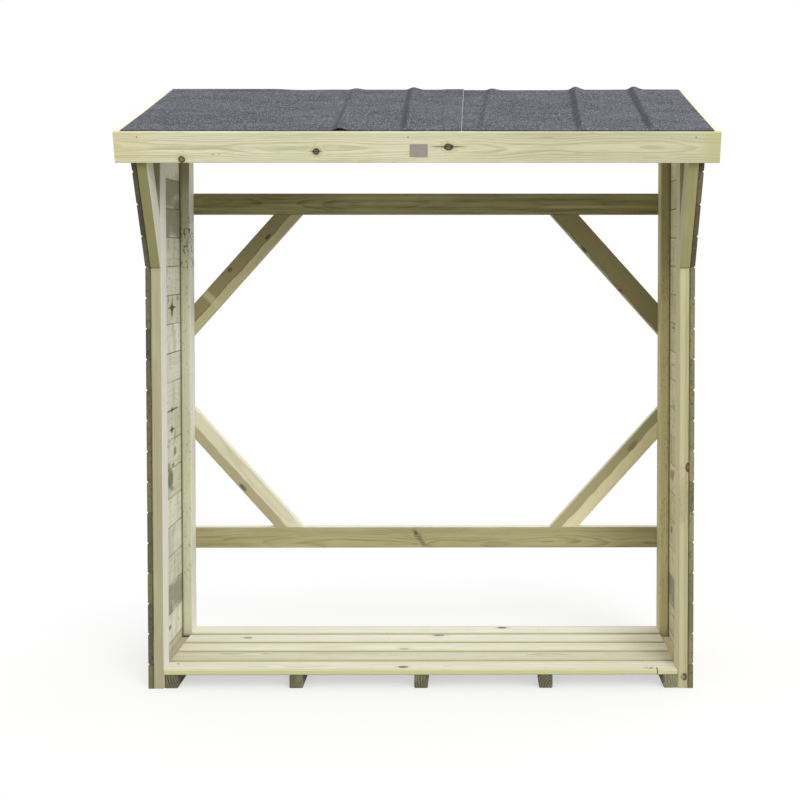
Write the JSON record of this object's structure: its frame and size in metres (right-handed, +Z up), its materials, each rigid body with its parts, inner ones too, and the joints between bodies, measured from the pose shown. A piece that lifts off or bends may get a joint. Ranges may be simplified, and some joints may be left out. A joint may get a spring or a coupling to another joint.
{
  "type": "log store",
  "caption": "Timber log store, open at front and back, with boarded sides flared on knee braces, a slatted floor, a braced back frame and a felted roof falling to the front.",
  "frame": {"origin": "on the ground, under the middle of the store's outline", "axes": "+Z up, +X to the right seen from the open front, the front towards -Y"},
  "size_m": [1.9, 0.7856, 2.0599],
  "materials": {
    "bearer_timber": "sawn pressure-treated pine with open end grain",
    "floor_slat_timber": "planed pale pine, dry and matt",
    "side_frame_timber": "planed pressure-treated pine, slightly weathered",
    "cladding_timber": "planed V-jointed pressure-treated pine boards, mottled",
    "back_frame_timber": "planed pressure-treated pine, heartwood streaks",
    "deck_timber": "planed pressure-treated pine boards",
    "trim_timber": "planed pressure-treated pine with knots",
    "roof_felt": "slate-grey mineral-surfaced bitumen felt, matt"
  },
  "bodies": {
    "root": {"floor_bearer_1": "bearer_timber", "floor_bearer_2": "bearer_timber", "floor_bearer_3": "bearer_timber", "floor_bearer_4": "bearer_timber", "floor_bearer_5": "bearer_timber", "floor_slat_1": "floor_slat_timber", "floor_slat_2": "floor_slat_timber", "floor_slat_3": "floor_slat_timber", "floor_slat_4": "floor_slat_timber", "floor_slat_5": "floor_slat_timber", "left_front_post": "side_frame_timber", "right_front_post": "side_frame_timber", "left_back_post": "side_frame_timber", "right_back_post": "side_frame_timber", "left_knee_brace": "side_frame_timber", "right_knee_brace": "side_frame_timber", "left_bottom_batten": "side_frame_timber", "right_bottom_batten": "side_frame_timber", "left_wall_boards": "cladding_timber", "right_wall_boards": "cladding_timber", "left_flared_boards": "cladding_timber", "right_flared_boards": "cladding_timber", "lower_back_rail": "back_frame_timber", "upper_back_rail": "back_frame_timber", "upper_left_diagonal": "back_frame_timber", "upper_right_diagonal": "back_frame_timber", "lower_left_diagonal": "back_frame_timber", "lower_right_diagonal": "back_frame_timber", "left_roof_batten": "deck_timber", "middle_roof_batten": "deck_timber", "right_roof_batten": "deck_timber", "roof_boards": "deck_timber", "front_fascia": "trim_timber", "back_fascia": "trim_timber", "left_bargeboard": "trim_timber", "right_bargeboard": "trim_timber", "left_felt": "roof_felt", "right_felt": "roof_felt"}
  },
  "joints": []
}
